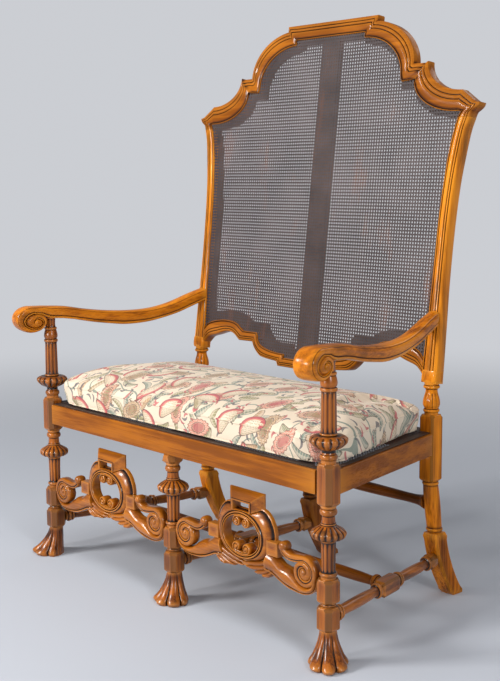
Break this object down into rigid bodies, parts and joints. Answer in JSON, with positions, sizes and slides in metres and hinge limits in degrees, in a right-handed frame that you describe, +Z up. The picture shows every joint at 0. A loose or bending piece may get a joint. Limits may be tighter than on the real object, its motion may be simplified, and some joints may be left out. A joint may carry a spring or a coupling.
{
  "type": "chair-back settee",
  "caption": "Carved walnut chair-back settee with a tall raked cane back, scrolled arms, turned legs and stretchers, a cane seat and a loose box cushion.",
  "frame": {"origin": "floor level, at the middle of the settee's overall width and depth", "axes": "+X to the right of someone who faces the settee, -Y out of its front, +Z up"},
  "size_m": [1.1576, 0.6948, 1.4493],
  "materials": {
    "walnut": "polished",
    "unpolished_walnut": "unpolished",
    "cane": "dark stained cane",
    "cushion_cloth": "woven floral cloth"
  },
  "bodies": {
    "frame": {"front_leg_left": "walnut", "front_leg_middle": "walnut", "front_leg_right": "walnut", "rear_post_left": "walnut", "rear_post_right": "walnut", "rear_leg_middle": "walnut", "front_seat_rail": "walnut", "rear_seat_rail": "walnut", "side_seat_rail_left": "walnut", "side_seat_rail_right": "walnut", "centre_seat_rail": "unpolished_walnut", "corner_block_front_left": "unpolished_walnut", "corner_block_front_right": "unpolished_walnut", "corner_block_rear_left": "unpolished_walnut", "corner_block_rear_right": "unpolished_walnut", "seat_cane": "cane", "crest_rail": "walnut", "back_bottom_rail": "walnut", "back_liner_top": "unpolished_walnut", "back_liner_bottom": "unpolished_walnut", "back_liner_left": "unpolished_walnut", "back_liner_right": "unpolished_walnut", "back_muntin": "unpolished_walnut", "back_cane": "cane", "arm_left": "walnut", "arm_right": "walnut", "carved_stretcher_left": "walnut", "carved_stretcher_right": "walnut", "side_stretcher_left": "walnut", "side_stretcher_right": "walnut", "middle_stretcher": "walnut", "cross_stretcher_left": "walnut", "cross_stretcher_right": "walnut", "rear_stretcher_left": "walnut", "rear_stretcher_right": "walnut"},
    "cushion": {"seat_cushion": "cushion_cloth"}
  },
  "joints": [
    {"name": "cushion_lift", "type": "slide", "parent": "frame", "child": "cushion", "axis": [0, 0, 1], "range_m": [0, 0.1]}
  ]
}
